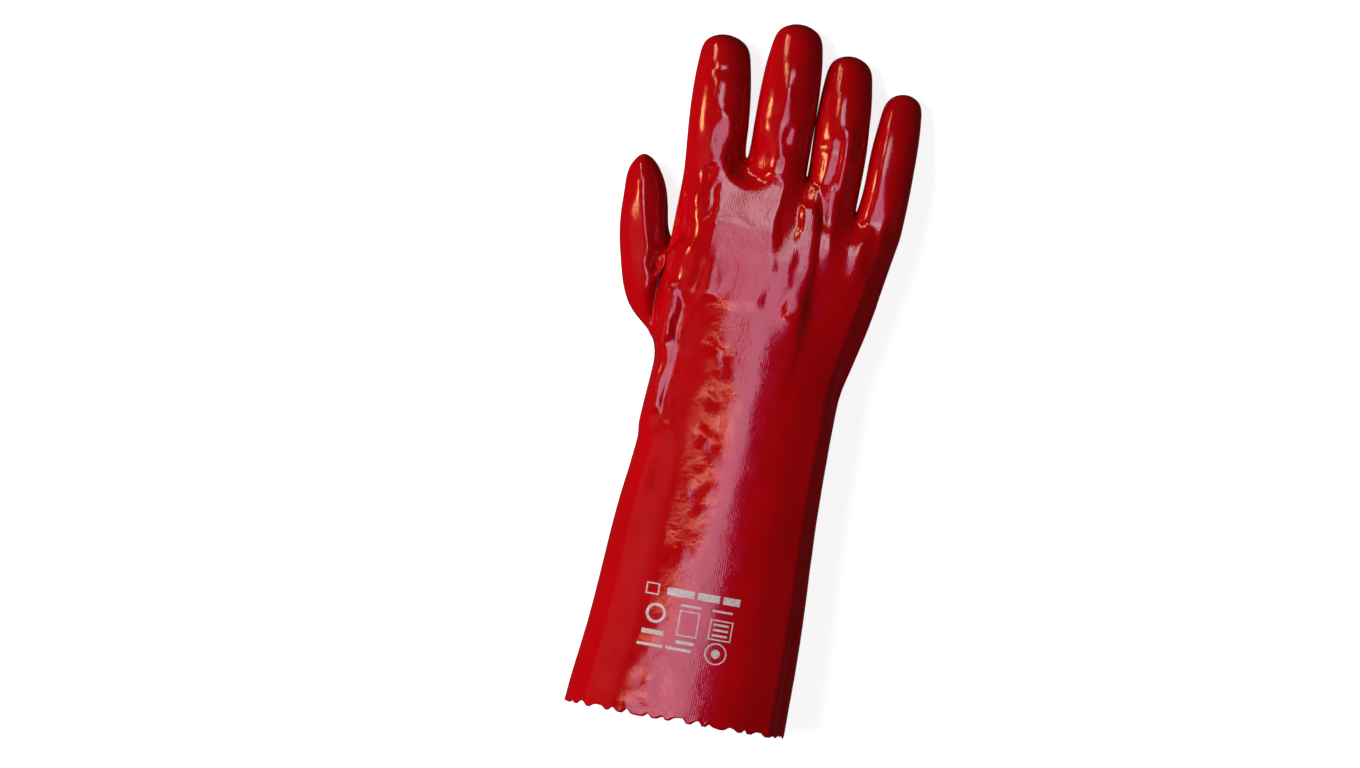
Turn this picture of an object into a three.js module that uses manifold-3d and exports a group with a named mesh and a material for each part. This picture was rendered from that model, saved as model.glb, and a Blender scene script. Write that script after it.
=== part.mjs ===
// A long work glove for the right hand, dipped in PVC over a knitted liner. It is one seamless hollow
// piece: a gauntlet with a pinked rim, the hand, four fingers and the thumb. It lies palm down.
// +X points to the little finger, +Y to the fingertips, +Z from the palm to the back of the hand.
// All sizes are in millimetres.
import * as THREE from "three";
import { mergeVertices } from "three/addons/utils/BufferGeometryUtils.js";
import Module from "manifold-3d";

// Driving sizes
const WALL = 1.4; // PVC coating and liner together
const GAUNTLET_LENGTH = 190; // pinked rim to the narrowest place, at the wrist
const HAND_LENGTH = 116; // wrist to the roots of the fingers
const CUFF_WIDTH = 126.5;
const CUFF_HEIGHT = 58;
const WRIST_WIDTH = 106.5;
const WRIST_HEIGHT = 45;
const KNUCKLE_HEIGHT = 31;
const WEB_DEPTH = 7; // how far a web's middle stands out past its back and palm edges
const SETTLED = 1.6; // how far the round underside has flattened under its own weight
const PINKING_PITCH = 9.4; // one point of the rim to the next
const PINKING_DEPTH = 2.5;
const PINKING_RADIUS = 3.4;
const PINKING_SIDES = 10;

const FINGER_LENGTH = 84; // of the middle finger, root to tip
const FINGER_WIDTH = 34;
const FINGER_HEIGHT = 29;
const THUMB_LENGTH = 78;
const THUMB_WIDTH = 28;
const THUMB_HEIGHT = 27;

// The fingers. length, width, height: shares of the middle finger's. root: how far the root lies past
// HAND_LENGTH, and lean: how far the tip lies to the little finger's side of the root, as shares of
// FINGER_LENGTH. gap: free space to the next finger, as a share of FINGER_WIDTH.
const FINGERS = [
  { name: "index", length: 0.94, width: 1.0, height: 1.0, root: 0.035, lean: -0.07, gap: 0.03 },
  { name: "middle", length: 1.0, width: 1.0, height: 1.0, root: 0.13, lean: -0.018, gap: 0.024 },
  { name: "ring", length: 0.952, width: 0.853, height: 0.914, root: 0.024, lean: -0.018, gap: 0.088 },
  { name: "little", length: 0.88, width: 0.78, height: 0.828, root: -0.095, lean: 0.024, gap: 0 },
].map((row) => ({
  name: row.name,
  length: row.length * FINGER_LENGTH,
  width: row.width * FINGER_WIDTH,
  height: row.height * FINGER_HEIGHT,
  root: row.root * FINGER_LENGTH,
  lean: row.lean * FINGER_LENGTH,
  gap: row.gap * FINGER_WIDTH,
}));
const PALM_WIDTH = FINGERS.reduce((sum, finger) => sum + finger.width + finger.gap, 0);

// Where each web's middle lies past HAND_LENGTH, as a share of FINGER_LENGTH, from the thumb's side
const WEBS = [{ past: 0.18 }, { past: 0.12 }, { past: -0.06 }];

// Sections of the gauntlet, from the rim to the wrist. along: share of GAUNTLET_LENGTH. flare: 1 is the
// cuff's size and 0 the wrist's. aside: share of WRIST_WIDTH towards the little finger. lift: share of
// WRIST_HEIGHT above the surface. square: exponent of the oval, where 2 is an ellipse.
const GAUNTLET_SECTIONS = [
  { along: 0.0, flare: 1.0, aside: 0.002, lift: 0.0, square: 2.2 },
  { along: 0.1, flare: 0.91, aside: 0.01, lift: 0.0, square: 2.2 },
  { along: 0.26, flare: 0.73, aside: 0.027, lift: 0.0, square: 2.2 },
  { along: 0.44, flare: 0.54, aside: 0.033, lift: 0.01, square: 2.2 },
  { along: 0.62, flare: 0.34, aside: 0.038, lift: 0.03, square: 2.2 },
  { along: 0.81, flare: 0.09, aside: 0.056, lift: 0.07, square: 2.25 },
];

// Sections of the hand, from the wrist to the last one before the fingers. along: share of HAND_LENGTH.
// spread: 1 is the palm's width and 0 the wrist's. thin: 1 is KNUCKLE_HEIGHT and 0 WRIST_HEIGHT.
const HAND_SECTIONS = [
  { along: 0.0, spread: 0.0, thin: 0.0, aside: 0.068, lift: 0.09, square: 2.3 },
  { along: 0.15, spread: 0.22, thin: 0.0, aside: 0.073, lift: 0.07, square: 2.3 },
  { along: 0.39, spread: 0.7, thin: -0.05, aside: 0.085, lift: 0.04, square: 2.4 },
  { along: 0.63, spread: 0.84, thin: 0.1, aside: 0.115, lift: 0.05, square: 2.5 },
  { along: 0.81, spread: 0.95, thin: 0.55, aside: 0.135, lift: 0.09, square: 2.6 },
];
const ROOT_SECTION = { aside: 0.143, lift: 0.12, square: 2.6 };

// Rings of a finger past its root. along: share of its length. wide, high: shares of its width and height.
// drop: 0 is level with the root, and 1 rests on the surface that the glove lies on.
const FINGER_RINGS = [
  { along: 0.2, wide: 1.0, high: 0.98, drop: 0.1 },
  { along: 0.42, wide: 1.0, high: 0.95, drop: 0.35 },
  { along: 0.64, wide: 0.96, high: 0.9, drop: 0.7 },
  { along: 0.82, wide: 0.86, high: 0.78, drop: 0.95 },
  { along: 0.94, wide: 0.66, high: 0.56, drop: 0.9 },
];
const FINGER_TIP = { along: 1.0, high: 0.5, drop: 0.88 };

// Rings of the thumb. out, on: shares of its length, away from the hand and towards the fingertips, from
// the middle of its root. up: share of its height above the surface. turn: the ring's heading in degrees
// from +Y to -X.
const THUMB_RINGS = [
  { out: 0.035, on: 0.08, up: 0.63, turn: 64, wide: 1.45, high: 1.12 },
  { out: 0.12, on: 0.28, up: 0.57, turn: 38, wide: 1.18, high: 1.04 },
  { out: 0.175, on: 0.48, up: 0.52, turn: 8, wide: 1.0, high: 0.96 },
  { out: 0.2, on: 0.7, up: 0.46, turn: 0, wide: 0.9, high: 0.84 },
  { out: 0.235, on: 0.88, up: 0.41, turn: 0, wide: 0.66, high: 0.6 },
];
const THUMB_TIP = { out: 0.25, on: 1.0, up: 0.38 };

// Folds and swellings pressed into the surface. from, to: the ends of the middle line, as shares of
// PALM_WIDTH across and of the whole length from the rim. wide: share of PALM_WIDTH. deep: share of
// WRIST_HEIGHT, and below 0 it swells out. side: 1 is the back of the hand and -1 the palm.
const FOLDS = [
  { from: [0.24, 0.765], to: [0.265, 0.65], wide: 0.05, deep: 0.07, side: 1 },
  { from: [0.265, 0.65], to: [0.24, 0.5], wide: 0.055, deep: 0.05, side: 1 },
  { from: [0.19, 0.73], to: [0.03, 0.46], wide: 0.07, deep: -0.04, side: 1 },
  { from: [0.03, 0.46], to: [0.05, 0.2], wide: 0.08, deep: -0.03, side: 1 },
  { from: [-0.1, 0.765], to: [-0.12, 0.735], wide: 0.08, deep: 0.07, side: 1 },
  { from: [-0.34, 0.4], to: [-0.29, 0.33], wide: 0.09, deep: 0.05, side: 1 },
  { from: [-0.05, 0.6], to: [0.2, 0.66], wide: 0.16, deep: 0.08, side: -1 },
];

// The eight directions round a ring of a finger or thumb, from the upper left, seen along the finger
const HALF_DIAGONAL = Math.SQRT1_2;
const OCTAGON = [
  [-HALF_DIAGONAL, HALF_DIAGONAL],
  [0, 1],
  [HALF_DIAGONAL, HALF_DIAGONAL],
  [1, 0],
  [HALF_DIAGONAL, -HALF_DIAGONAL],
  [0, -1],
  [-HALF_DIAGONAL, -HALF_DIAGONAL],
  [-1, 0],
];

const mix = (from, to, share) => from + (to - from) * share;

// The cage: a coarse mesh of quads, which smoothing turns into the glove's skin
const cage = { points: [], faces: [] };

function addPoint(x, y, z) {
  return cage.points.push(new THREE.Vector3(x, y, z)) - 1;
}

function bridge(lower, upper, skipped = () => false) {
  lower.forEach((point, i) => {
    const next = (i + 1) % lower.length;
    if (!skipped(i)) cage.faces.push([point, lower[next], upper[next], upper[i]]);
  });
}

// Where the columns of a section lie across it, as shares of its width: an edge, then each finger's
// middle and the web after it, then the other edge
const CORNER_SHARE = 0.06;
const columnShares = [CORNER_SHARE];
const fingerStart = (i) => FINGERS.slice(0, i).reduce((sum, finger) => sum + finger.width + finger.gap, 0);
FINGERS.forEach((finger, i) => {
  columnShares.push((fingerStart(i) + finger.width / 2) / PALM_WIDTH);
  const web = (fingerStart(i + 1) - finger.gap / 2) / PALM_WIDTH;
  columnShares.push(i < FINGERS.length - 1 ? web : 1 - CORNER_SHARE);
});
const COLUMNS = columnShares.length;

// A section's points: along the back from the thumb's side, the little finger's side, back along the palm
// and the thumb's side. shape has left, width, bottom, height and square, and at(column) gives how far a
// column lies along the glove and how deep its valley is.
function sectionRing(shape, at) {
  const middle = shape.bottom + shape.height / 2;
  const backs = [];
  const palms = [];
  columnShares.forEach((share, column) => {
    const x = shape.left + share * shape.width;
    const across = Math.abs(2 * share - 1);
    const rise = (shape.height / 2) * (1 - across ** shape.square) ** (1 / shape.square);
    const { y, valley } = at(column);
    backs.push(addPoint(x, y, middle + rise - valley));
    palms.push(addPoint(x, y, middle - rise + valley));
  });
  const littleSide = addPoint(shape.left + shape.width, at(COLUMNS - 1).y, middle);
  const thumbSide = addPoint(shape.left, at(0).y, middle);
  return [...backs, littleSide, ...palms.reverse(), thumbSide];
}

function gauntletShape(row) {
  const width = mix(WRIST_WIDTH, CUFF_WIDTH, row.flare);
  return {
    width,
    left: row.aside * WRIST_WIDTH - width / 2,
    bottom: row.lift * WRIST_HEIGHT,
    height: mix(WRIST_HEIGHT, CUFF_HEIGHT, row.flare),
    square: row.square,
  };
}

function handShape(row) {
  const width = mix(WRIST_WIDTH, PALM_WIDTH, row.spread);
  return {
    width,
    left: row.aside * WRIST_WIDTH - width / 2,
    bottom: row.lift * WRIST_HEIGHT,
    height: mix(WRIST_HEIGHT, KNUCKLE_HEIGHT, row.thin),
    square: row.square,
  };
}

// The gauntlet and the hand
const VALLEY_BEFORE_ROOTS = 0.05; // share of KNUCKLE_HEIGHT, in the last section
const VALLEY_AT_ROOTS = 0.17;
const isWebColumn = (column) => column % 2 === 0 && column > 0 && column < COLUMNS - 1;

const rings = GAUNTLET_SECTIONS.map((row) =>
  sectionRing(gauntletShape(row), () => ({ y: row.along * GAUNTLET_LENGTH, valley: 0 })),
);
HAND_SECTIONS.forEach((row, i) => {
  const last = i === HAND_SECTIONS.length - 1;
  const at = (column) => ({
    y: GAUNTLET_LENGTH + row.along * HAND_LENGTH,
    valley: last && isWebColumn(column) ? VALLEY_BEFORE_ROOTS * KNUCKLE_HEIGHT : 0,
  });
  rings.push(sectionRing(handShape(row), at));
});

// The roots of the fingers are one more section, whose columns reach as far as their finger or web
const handEnd = GAUNTLET_LENGTH + HAND_LENGTH;
const fingerAt = (column) => FINGERS[Math.min(Math.floor(column / 2), FINGERS.length - 1)];
const rootShape = handShape({ ...ROOT_SECTION, spread: 1, thin: 1 });
const webEnd = (web) => handEnd + web.past * FINGER_LENGTH;
const rootRing = sectionRing(rootShape, (column) =>
  isWebColumn(column)
    ? { y: webEnd(WEBS[column / 2 - 1]) - WEB_DEPTH, valley: VALLEY_AT_ROOTS * KNUCKLE_HEIGHT }
    : { y: handEnd + fingerAt(column).root - (column % 2 ? 0 : WEB_DEPTH / 2), valley: 0 },
);
rings.push(rootRing);

// The thumb grows out of a hole of two by two quads, low on the thumb's side
const THUMB_ROOT_RING = GAUNTLET_SECTIONS.length + 1;
const RING_POINTS = rootRing.length;
const SIDE_COLUMN = RING_POINTS - 1;
const thumbHole = [SIDE_COLUMN - 2, SIDE_COLUMN - 1];
rings.slice(1).forEach((ring, i) => {
  const holed = i === THUMB_ROOT_RING || i === THUMB_ROOT_RING + 1;
  bridge(rings[i], ring, (column) => holed && thumbHole.includes(column));
});

// Adds a digit's rings onto the loop of its root, and closes its tip
function growDigit(root, stations, tip) {
  let lower = root;
  stations.forEach(({ middle, side, up, width, height }) => {
    const ring = OCTAGON.map(([across, above]) => {
      const point = middle
        .clone()
        .addScaledVector(side, (across * width) / 2)
        .addScaledVector(up, (above * height) / 2);
      return addPoint(...point);
    });
    bridge(lower, ring);
    lower = ring;
  });
  const end = addPoint(...tip);
  for (let i = 1; i < lower.length; i += 2) {
    const next = (i + 1) % lower.length;
    const last = (i + 2) % lower.length;
    cage.faces.push([end, lower[i], lower[next], lower[last]]);
  }
}

// The fingers
const rootMiddleZ = rootShape.bottom + rootShape.height / 2;
const webPoints = WEBS.map((web, i) =>
  addPoint(rootShape.left + columnShares[2 * i + 2] * rootShape.width, webEnd(web), rootMiddleZ),
);
FINGERS.forEach((finger, i) => {
  const backs = rootRing.slice(2 * i, 2 * i + 3);
  const palms = [0, 1, 2].map((step) => rootRing[SIDE_COLUMN - 1 - (2 * i + step)]);
  const rightSide = i < WEBS.length ? webPoints[i] : rootRing[COLUMNS];
  const leftSide = i > 0 ? webPoints[i - 1] : rootRing[SIDE_COLUMN];
  const loop = [...backs, rightSide, ...palms.reverse(), leftSide];

  const rootX = rootShape.left + fingerStart(i) + finger.width / 2;
  const rootY = handEnd + finger.root;
  const place = (row) =>
    new THREE.Vector3(
      rootX + finger.lean * row.along,
      rootY + finger.length * row.along,
      mix(rootMiddleZ, (row.high * finger.height) / 2, row.drop),
    );
  const stations = FINGER_RINGS.map((row) => ({
    middle: place(row),
    side: new THREE.Vector3(1, 0, 0),
    up: new THREE.Vector3(0, 0, 1),
    width: row.wide * finger.width,
    height: row.high * finger.height,
  }));
  growDigit(loop, stations, place(FINGER_TIP));
});

// The thumb
const [lowRing, midRing, highRing] = rings.slice(THUMB_ROOT_RING, THUMB_ROOT_RING + 3);
const thumbLoop = [
  lowRing[SIDE_COLUMN],
  midRing[SIDE_COLUMN],
  highRing[SIDE_COLUMN],
  highRing[SIDE_COLUMN - 1],
  highRing[SIDE_COLUMN - 2],
  midRing[SIDE_COLUMN - 2],
  lowRing[SIDE_COLUMN - 2],
  lowRing[SIDE_COLUMN - 1],
];
const thumbRoot = cage.points[midRing[SIDE_COLUMN]];
const placeThumb = (row) =>
  new THREE.Vector3(
    thumbRoot.x - row.out * THUMB_LENGTH,
    thumbRoot.y + row.on * THUMB_LENGTH,
    row.up * THUMB_HEIGHT,
  );
const thumbStations = THUMB_RINGS.map((row) => {
  const heading = THREE.MathUtils.degToRad(row.turn);
  return {
    middle: placeThumb(row),
    side: new THREE.Vector3(Math.cos(heading), Math.sin(heading), 0),
    up: new THREE.Vector3(0, 0, 1),
    width: row.wide * THUMB_WIDTH,
    height: row.high * THUMB_HEIGHT,
  };
});
growDigit(thumbLoop, thumbStations, placeThumb(THUMB_TIP));

// One step of Catmull-Clark smoothing. The first points of the result are the old points, moved.
function smooth({ points, faces }) {
  const edges = new Map();
  const facePoints = faces.map((face) => average(face.map((p) => points[p])));
  faces.forEach((face, f) =>
    face.forEach((from, i) => {
      const to = face[(i + 1) % face.length];
      const key = from < to ? `${from}_${to}` : `${to}_${from}`;
      if (!edges.has(key)) edges.set(key, { ends: [from, to], faces: [] });
      edges.get(key).faces.push(f);
    }),
  );
  const around = points.map(() => ({ faces: [], middles: [], rims: [] }));
  const made = points.map(() => null);
  const edgeIndex = new Map();
  edges.forEach((edge, key) => {
    const [a, b] = edge.ends;
    const middle = average([points[a], points[b]]);
    const onRim = edge.faces.length === 1;
    edge.ends.forEach((end) => around[end].middles.push(middle));
    if (onRim) edge.ends.forEach((end) => around[end].rims.push(middle));
    const corners = [points[a], points[b], ...edge.faces.map((f) => facePoints[f])];
    edgeIndex.set(key, made.push(onRim ? middle : average(corners)) - 1);
  });
  faces.forEach((face, f) => face.forEach((p) => around[p].faces.push(facePoints[f])));
  points.forEach((point, p) => {
    const { faces: beside, middles, rims } = around[p];
    if (rims.length) {
      made[p] = average([...rims, point, point]);
      return;
    }
    const count = beside.length;
    made[p] = average(beside)
      .addScaledVector(average(middles), 2)
      .addScaledVector(point, count - 3)
      .divideScalar(count);
  });
  const edgeOf = (a, b) => edgeIndex.get(a < b ? `${a}_${b}` : `${b}_${a}`);
  const newFaces = [];
  faces.forEach((face, f) => {
    const centre = made.push(facePoints[f]) - 1;
    face.forEach((p, i) => {
      const next = face[(i + 1) % face.length];
      const before = face[(i + face.length - 1) % face.length];
      newFaces.push([p, edgeOf(p, next), centre, edgeOf(before, p)]);
    });
  });
  return { points: made, faces: newFaces };
}

function average(list) {
  return list.reduce((sum, p) => sum.add(p), new THREE.Vector3()).divideScalar(list.length);
}

// Smoothing shrinks a cage, so the cage is first swollen until the smooth skin passes through its points
const FITTING_ROUNDS = 6;
function smoothThrough(wanted) {
  const swollen = { points: wanted.points.map((p) => p.clone()), faces: wanted.faces };
  for (let round = 0; round < FITTING_ROUNDS; round++) {
    const reached = smooth(swollen);
    swollen.points.forEach((p, i) => p.add(wanted.points[i]).sub(reached.points[i]));
  }
  return smooth(swollen);
}

// Unit normals at the points of a mesh of quads
function normalsOf({ points, faces }) {
  const normals = points.map(() => new THREE.Vector3());
  faces.forEach(([a, b, c, d]) => {
    const across = new THREE.Vector3().subVectors(points[c], points[a]);
    const other = new THREE.Vector3().subVectors(points[d], points[b]);
    across.cross(other);
    [a, b, c, d].forEach((p) => normals[p].add(across));
  });
  return normals.map((n) => n.normalize());
}

const skin = smoothThrough(cage);

// The folds, and the underside flattened where the glove lies on the surface
const wholeLength = handEnd + Math.max(...FINGERS.map((finger) => finger.root + finger.length));
const foldLine = new THREE.Line3();
const nearest = new THREE.Vector3();
function foldDepth(point, normal) {
  const flat = new THREE.Vector3(point.x, point.y, 0);
  return FOLDS.reduce((sum, fold) => {
    foldLine.start.set(fold.from[0] * PALM_WIDTH, fold.from[1] * wholeLength, 0);
    foldLine.end.set(fold.to[0] * PALM_WIDTH, fold.to[1] * wholeLength, 0);
    const away = foldLine.closestPointToPoint(flat, true, nearest).distanceTo(flat);
    const facing = Math.max(0, normal.z * fold.side);
    return sum + fold.deep * WRIST_HEIGHT * facing * Math.exp(-((away / (fold.wide * PALM_WIDTH)) ** 2));
  }, 0);
}
// The rim is where an edge of the skin has one face. rimNext leads from each of its points to the next.
const rimNext = new Map();
const hasEdge = new Set(skin.faces.flatMap((face) => face.map((from, i) => `${from}_${face[(i + 1) % 4]}`)));
skin.faces.forEach((face) =>
  face.forEach((from, i) => {
    const to = face[(i + 1) % 4];
    if (!hasEdge.has(`${to}_${from}`)) rimNext.set(from, to);
  }),
);

const smoothNormals = normalsOf(skin);
skin.points.forEach((point, i) => {
  const { y } = point;
  point.addScaledVector(smoothNormals[i], -foldDepth(point, smoothNormals[i]));
  if (rimNext.has(i)) point.y = y;
  point.z = Math.max(point.z - SETTLED, 0);
});

// The wall: the skin, and the same skin one wall further in, joined round the rim
const skinNormals = normalsOf(skin);
const inside = skin.points.map((point, i) => {
  const inward = skinNormals[i].clone().negate();
  if (rimNext.has(i)) inward.setY(0).normalize();
  return point.clone().addScaledVector(inward, WALL);
});

function shellGeometry() {
  const count = skin.points.length;
  const vertices = [...skin.points, ...inside].flatMap((p) => [...p]);
  const triangles = [];
  const addQuad = (a, b, c, d) => triangles.push(a, b, c, a, c, d);
  skin.faces.forEach(([a, b, c, d]) => {
    addQuad(a, b, c, d);
    addQuad(d + count, c + count, b + count, a + count);
  });
  rimNext.forEach((to, from) => addQuad(to, from, from + count, to + count));
  const geometry = new THREE.BufferGeometry();
  geometry.setAttribute("position", new THREE.Float32BufferAttribute(vertices, 3));
  geometry.setIndex(triangles);
  return geometry;
}

// The rim as a closed curve through the middle of the wall
function rimCurve() {
  const start = rimNext.keys().next().value;
  const points = [];
  let at = start;
  do {
    points.push(average([skin.points[at], inside[at]]));
    at = rimNext.get(at);
  } while (at !== start);
  return new THREE.CatmullRomCurve3(points, true);
}

// Scallops round the rim, one for each pitch
function pinkingCutters() {
  const curve = rimCurve();
  const count = Math.round(curve.getLength() / PINKING_PITCH);
  return Array.from({ length: count }, (_, i) => {
    const share = i / count;
    const tangent = curve.getTangentAt(share);
    const across = new THREE.Vector3(0, 1, 0).cross(tangent).normalize();
    const cutter = new THREE.CylinderGeometry(PINKING_RADIUS, PINKING_RADIUS, 4 * WALL, PINKING_SIDES);
    cutter.applyQuaternion(new THREE.Quaternion().setFromUnitVectors(new THREE.Vector3(0, 1, 0), across));
    const middle = curve.getPointAt(share);
    cutter.translate(middle.x, middle.y + PINKING_DEPTH - PINKING_RADIUS, middle.z);
    return cutter;
  });
}

const wasm = await Module();
wasm.setup();

function solidOf(geometry) {
  const bare = geometry.clone();
  bare.deleteAttribute("normal");
  bare.deleteAttribute("uv");
  const merged = mergeVertices(bare);
  return new wasm.Manifold(
    new wasm.Mesh({
      numProp: 3,
      vertProperties: merged.attributes.position.array,
      triVerts: new Uint32Array(merged.index.array),
    }),
  );
}

function geometryOf(solid) {
  const { vertProperties, triVerts } = solid.getMesh();
  const geometry = new THREE.BufferGeometry();
  geometry.setAttribute("position", new THREE.BufferAttribute(vertProperties, 3));
  geometry.setIndex(new THREE.BufferAttribute(triVerts, 1));
  geometry.computeVertexNormals();
  return geometry;
}

const uncut = solidOf(shellGeometry());
const shell = pinkingCutters().reduce((solid, cutter) => solid.subtract(solidOf(cutter)), uncut);

const redPvc = new THREE.MeshStandardMaterial({ color: 0xb8040a, roughness: 0.22, metalness: 0 });
const gloveShell = new THREE.Mesh(geometryOf(shell), redPvc);
gloveShell.name = "glove_shell";

// The origin is under the middle of the glove, on the surface that it lies on
const glove = new THREE.Group();
const box = new THREE.Box3().setFromObject(gloveShell);
const centre = box.getCenter(new THREE.Vector3());
gloveShell.position.set(-centre.x, -centre.y, -box.min.z);
glove.add(gloveShell);

export default glove;
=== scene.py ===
# A long work glove for the right hand, dipped in PVC over a knitted liner. It is one seamless hollow piece,
# and it lies palm down. +X points to the little finger, +Y to the fingertips, +Z to the back of the hand.
# Lengths are in metres. A place on the glove is given across, towards the little finger, and along, towards
# the fingertips, from the middle of the rim.
import math
from collections import namedtuple

import bpy
import numpy as np
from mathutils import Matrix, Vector, noise
from mathutils.bvhtree import BVHTree


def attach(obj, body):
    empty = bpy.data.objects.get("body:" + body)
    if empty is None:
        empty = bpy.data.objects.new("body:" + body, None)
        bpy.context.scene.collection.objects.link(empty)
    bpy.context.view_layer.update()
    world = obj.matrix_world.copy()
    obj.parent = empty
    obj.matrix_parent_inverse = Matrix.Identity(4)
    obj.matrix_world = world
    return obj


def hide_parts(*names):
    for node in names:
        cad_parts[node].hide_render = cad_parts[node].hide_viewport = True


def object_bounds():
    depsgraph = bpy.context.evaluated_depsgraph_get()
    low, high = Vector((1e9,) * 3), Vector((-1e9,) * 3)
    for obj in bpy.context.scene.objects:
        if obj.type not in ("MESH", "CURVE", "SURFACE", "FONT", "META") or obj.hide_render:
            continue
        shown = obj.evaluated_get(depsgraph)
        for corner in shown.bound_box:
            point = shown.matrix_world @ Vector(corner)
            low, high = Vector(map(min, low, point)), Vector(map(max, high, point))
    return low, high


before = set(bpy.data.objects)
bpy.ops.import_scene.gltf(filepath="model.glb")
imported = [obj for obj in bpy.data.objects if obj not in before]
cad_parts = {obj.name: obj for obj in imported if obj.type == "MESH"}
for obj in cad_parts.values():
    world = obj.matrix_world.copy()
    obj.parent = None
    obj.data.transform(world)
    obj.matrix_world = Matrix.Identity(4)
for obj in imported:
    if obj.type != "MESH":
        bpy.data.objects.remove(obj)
cad_low, cad_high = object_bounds()

# Driving sizes, as in the frame, with slightly deeper pinking
WALL = 0.0014
GAUNTLET_LENGTH = 0.190
HAND_LENGTH = 0.116
CUFF_WIDTH = 0.1265
CUFF_HEIGHT = 0.058
WRIST_WIDTH = 0.1065
WRIST_HEIGHT = 0.045
KNUCKLE_HEIGHT = 0.031
WEB_DEPTH = 0.007
SETTLED = 0.0016
FINGER_LENGTH = 0.084
FINGER_WIDTH = 0.034
FINGER_HEIGHT = 0.029
THUMB_LENGTH = 0.078
THUMB_WIDTH = 0.028
THUMB_HEIGHT = 0.027
PINKING_PITCH = 0.0094
PINKING_DEPTH = 0.0027
HAND_END = GAUNTLET_LENGTH + HAND_LENGTH

# Sections of the gauntlet. along: share of GAUNTLET_LENGTH. flare: 1 is the cuff's size and 0 the wrist's.
# aside, lift: shares of WRIST_WIDTH and WRIST_HEIGHT. square: exponent of the oval, where 2 is an ellipse.
GauntletRow = namedtuple("GauntletRow", "along flare aside lift square")
GAUNTLET_SECTIONS = [
    GauntletRow(0.0, 1.0, 0.002, 0.0, 2.2),
    GauntletRow(0.1, 0.91, 0.01, 0.0, 2.2),
    GauntletRow(0.26, 0.73, 0.027, 0.0, 2.2),
    GauntletRow(0.44, 0.54, 0.033, 0.01, 2.2),
    GauntletRow(0.62, 0.34, 0.038, 0.03, 2.2),
    GauntletRow(0.81, 0.09, 0.056, 0.07, 2.25),
]
# Sections of the hand. along: share of HAND_LENGTH. spread, thin: 0 is the wrist's width and height, and 1
# the palm's and the knuckles'.
HandRow = namedtuple("HandRow", "along spread thin aside lift square")
HAND_SECTIONS = [
    HandRow(0.0, 0.0, 0.0, 0.068, 0.09, 2.3),
    HandRow(0.15, 0.22, 0.0, 0.073, 0.07, 2.3),
    HandRow(0.39, 0.7, -0.05, 0.085, 0.04, 2.4),
    HandRow(0.63, 0.84, 0.1, 0.115, 0.05, 2.5),
    HandRow(0.81, 0.95, 0.55, 0.135, 0.09, 2.6),
]
ROOT_SECTION = HandRow(1.0, 1.0, 1.0, 0.143, 0.12, 2.6)
# length, width, height: shares of the middle finger's. root, lean: how far the root lies past HAND_END and
# the tip beside the root, as shares of FINGER_LENGTH. gap: free space to the next finger. plump, shift: how
# the finger beyond its root differs from its root's width and middle. gap, shift: shares of FINGER_WIDTH.
Finger = namedtuple("Finger", "name length width height root lean gap plump shift")
FINGERS = [
    Finger("index", 0.94, 1.0, 1.0, 0.035, -0.07, 0.03, 1.01, 0.004),
    Finger("middle", 1.0, 1.0, 1.0, 0.13, -0.008, 0.024, 1.01, 0.005),
    Finger("ring", 0.952, 0.853, 0.914, 0.024, -0.028, 0.088, 1.08, 0.04),
    Finger("little", 0.88, 0.78, 0.828, -0.095, 0.024, 0.0, 1.0, 0.0),
]
# How far each web lies past HAND_END, as a share of FINGER_LENGTH
WEBS_PAST = [0.18, 0.12, -0.06]
# Rings of a finger, as shares of its own size. drop: 0 is the root's middle height, and 1 lies on the surface
# under the glove.
FingerRing = namedtuple("FingerRing", "along wide high drop")
FINGER_RINGS = [
    FingerRing(0.2, 1.0, 0.98, 0.1),
    FingerRing(0.42, 1.0, 0.95, 0.35),
    FingerRing(0.64, 0.96, 0.9, 0.7),
    FingerRing(0.82, 0.86, 0.78, 0.95),
    FingerRing(0.94, 0.66, 0.56, 0.9),
]
FINGER_TIP = FingerRing(1.0, 0.0, 0.5, 0.88)
# Rings of the thumb, as shares of its own size. out, on, up: how far they lie beside its root, ahead of it
# and above that surface. turn: heading in degrees.
ThumbRing = namedtuple("ThumbRing", "out on up turn wide high")
THUMB_RINGS = [
    ThumbRing(0.035, 0.08, 0.63, 64, 1.45, 1.12),
    ThumbRing(0.12, 0.28, 0.57, 38, 1.18, 1.04),
    ThumbRing(0.175, 0.48, 0.52, 8, 1.0, 0.96),
    ThumbRing(0.2, 0.7, 0.46, 0, 0.9, 0.84),
    ThumbRing(0.235, 0.88, 0.41, 0, 0.66, 0.6),
]
THUMB_TIP = ThumbRing(0.25, 1.0, 0.38, 0, 0.0, 0.0)
# The outermost column lies this share of a section's width from its edge
CORNER_SHARE = 0.06
# How deep the webs' columns dip before the fingers' roots and at them, as shares of KNUCKLE_HEIGHT
VALLEY_BEFORE_ROOTS = 0.05
VALLEY_AT_ROOTS = 0.17

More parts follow.
